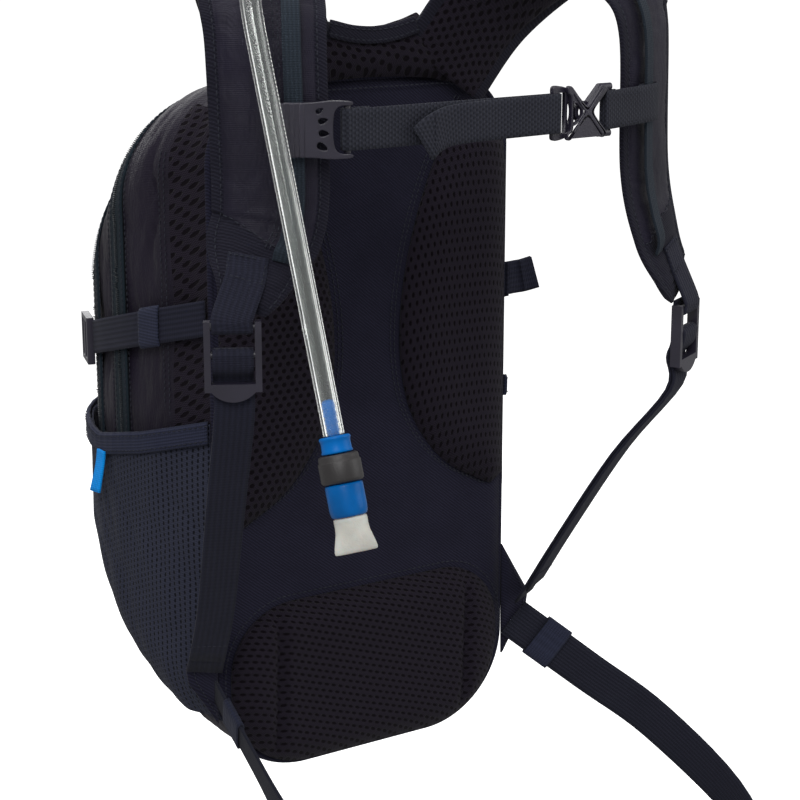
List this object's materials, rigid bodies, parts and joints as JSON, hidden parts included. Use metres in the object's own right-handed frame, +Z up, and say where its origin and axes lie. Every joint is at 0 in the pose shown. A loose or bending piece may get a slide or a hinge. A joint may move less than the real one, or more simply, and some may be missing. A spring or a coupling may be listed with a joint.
{
  "type": "hydration pack",
  "caption": "Small back-worn hydration pack with mesh back pads, padded shoulder straps, sternum and waist belts, side pockets, a water reservoir and a clear drink tube with a blue bite valve.",
  "frame": {"origin": "middle of the lumbar pad's flat face, where the pack meets the lower back", "axes": "+Z up, the wearer at -Y facing -Y, the bag towards +Y, +X to the right of someone who faces the back panel"},
  "size_m": [0.3696, 0.387, 0.6108],
  "materials": {
    "twill": "matte",
    "spacer_mesh": "matte",
    "nylon": "semi-matte, crinkled",
    "zip_tape": "matte",
    "zip_metal": "satin",
    "plastic": "satin",
    "sheet_plastic": "matte",
    "stretch_knit": "matte",
    "elastic": "matte",
    "blue_tape": "matte",
    "webbing": "matte, ribbed",
    "strap_foam": "matte, crinkled",
    "water_bag": "clear film",
    "blue_plastic": "gloss, translucent",
    "grommet": "matte",
    "tube": "clear",
    "collar_plastic": "matte",
    "silicone": "matte"
  },
  "bodies": {
    "pack": {"back_panel": "twill", "frame_sheet": "sheet_plastic", "back_pad_right": "spacer_mesh", "back_pad_left": "spacer_mesh", "lumbar_pad": "spacer_mesh", "yoke_pad": "spacer_mesh", "main_shell": "nylon", "front_pocket_shell": "nylon", "main_zip": "zip_tape", "front_zip": "zip_tape", "side_pocket_right": "stretch_knit", "side_pocket_left": "stretch_knit", "pocket_band_right": "elastic", "pocket_band_left": "elastic", "haul_loop": "webbing", "shoulder_strap_right": "strap_foam", "shoulder_strap_left": "strap_foam", "strap_rail_right": "webbing", "strap_rail_left": "webbing", "tip_webbing_right": "webbing", "tip_webbing_left": "webbing", "adjuster_webbing_right": "webbing", "adjuster_webbing_left": "webbing", "wing_right": "twill", "wing_left": "twill", "belt_webbing_right": "webbing", "belt_webbing_left": "webbing", "belt_buckle_female": "plastic", "compression_webbing_right": "webbing", "compression_webbing_left": "webbing", "compression_keeper": "elastic", "reservoir": "water_bag", "reservoir_hanger": "plastic", "outlet_elbow": "blue_plastic", "tube_port": "grommet", "tube_keeper": "elastic", "drink_tube": "tube", "barb_connector": "blue_plastic", "valve_body": "blue_plastic", "bite_mouthpiece": "silicone"},
    "main_zip_slider": {"main_zip_slider": "zip_metal"},
    "main_zip_pull": {"main_zip_pull": "plastic"},
    "front_zip_slider": {"front_zip_slider": "zip_metal"},
    "front_zip_pull": {"front_zip_pull": "plastic"},
    "pocket_tab": {"pocket_pull": "blue_tape"},
    "lock_right": {"ladder_lock_right": "plastic"},
    "lock_left": {"ladder_lock_left": "plastic"},
    "sternum_left": {"sternum_slider": "plastic"},
    "sternum_right": {"sternum_anchor": "plastic", "sternum_web_right": "webbing"},
    "sternum_strap": {"sternum_webbing": "webbing", "sternum_hook": "plastic"},
    "belt_keeper_right": {"belt_keeper_right": "elastic"},
    "belt_keeper_left": {"belt_keeper_left": "elastic"},
    "belt_male": {"belt_buckle_male": "plastic"},
    "compression_lock_right": {"compression_buckle_right": "plastic"},
    "compression_lock_left": {"compression_buckle_left": "plastic"},
    "cap": {"filler_cap": "blue_plastic"},
    "collar": {"valve_collar": "collar_plastic"}
  },
  "joints": [
    {"name": "main_zip_run", "type": "slide", "parent": "pack", "child": "main_zip_slider", "axis": [1, 0, 0], "range_m": [-0.036, 0.036]},
    {"name": "main_pull_swing", "type": "hinge", "parent": "main_zip_slider", "child": "main_zip_pull", "pos_m": [-0.013, 0.08843, 0.33443], "axis": [0, -0.7863, 0.6178], "range_deg": [0, 120]},
    {"name": "front_zip_run", "type": "slide", "parent": "pack", "child": "front_zip_slider", "axis": [1, 0, 0], "range_m": [-0.04, 0.01]},
    {"name": "front_pull_swing", "type": "hinge", "parent": "front_zip_slider", "child": "front_zip_pull", "pos_m": [0.009, 0.12612, 0.30016], "axis": [0, -0.669, 0.7433], "range_deg": [0, 120]},
    {"name": "pocket_tab_swing", "type": "hinge", "parent": "pack", "child": "pocket_tab", "pos_m": [-0.12642, 0.118, 0.1305], "axis": [0, 1, 0], "range_deg": [0, 60]},
    {"name": "lock_tilt_right", "type": "hinge", "parent": "pack", "child": "lock_right", "pos_m": [0.144, -0.098, 0.219], "axis": [-0.8821, -0.4711, 0], "range_deg": [0, 35], "deforming": ["adjuster_webbing_right"]},
    {"name": "lock_tilt_left", "type": "hinge", "parent": "pack", "child": "lock_left", "pos_m": [-0.144, -0.098, 0.242], "axis": [-0.8821, 0.4711, 0], "range_deg": [0, 35], "deforming": ["adjuster_webbing_left"]},
    {"name": "sternum_height_left", "type": "slide", "parent": "pack", "child": "sternum_left", "axis": [0, 0, 1], "range_m": [-0.022, 0.022]},
    {"name": "sternum_height_right", "type": "slide", "parent": "pack", "child": "sternum_right", "axis": [0, 0, 1], "range_m": [-0.022, 0.022]},
    {"name": "sternum_open", "type": "hinge", "parent": "sternum_left", "child": "sternum_strap", "pos_m": [-0.09093, -0.119, 0.336], "axis": [0, 0, -1], "range_deg": [0, 70]},
    {"name": "belt_keeper_slide_right", "type": "slide", "parent": "pack", "child": "belt_keeper_right", "axis": [0.7029, -0.3465, -0.6212], "range_m": [-0.01, 0.01]},
    {"name": "belt_keeper_slide_left", "type": "slide", "parent": "pack", "child": "belt_keeper_left", "axis": [0.0411, -0.8172, -0.5749], "range_m": [-0.009, 0.009]},
    {"name": "belt_release", "type": "slide", "parent": "pack", "child": "belt_male", "axis": [1, 0, 0], "range_m": [0, 0.026], "deforming": ["belt_webbing_right"]},
    {"name": "compression_tilt_right", "type": "hinge", "parent": "pack", "child": "compression_lock_right", "pos_m": [0.11513, 0.14038, 0.19044], "axis": [0, 0, 1], "range_deg": [0, 40]},
    {"name": "compression_tilt_left", "type": "hinge", "parent": "pack", "child": "compression_lock_left", "pos_m": [-0.11513, 0.14038, 0.19044], "axis": [0, 0, -1], "range_deg": [0, 40]},
    {"name": "cap_turn", "type": "hinge", "parent": "pack", "child": "cap", "pos_m": [0, 0.038, 0.232], "axis": [0, 1, 0], "range_deg": [0, 120]},
    {"name": "collar_turn", "type": "hinge", "parent": "pack", "child": "collar", "pos_m": [-0.13008, -0.17484, 0.18773], "axis": [0.0267, -0.311, -0.95], "range_deg": [0, 90]}
  ],
  "couplings": [
    {"joint": "sternum_height_right", "follows": "sternum_height_left", "ratio": 1}
  ]
}
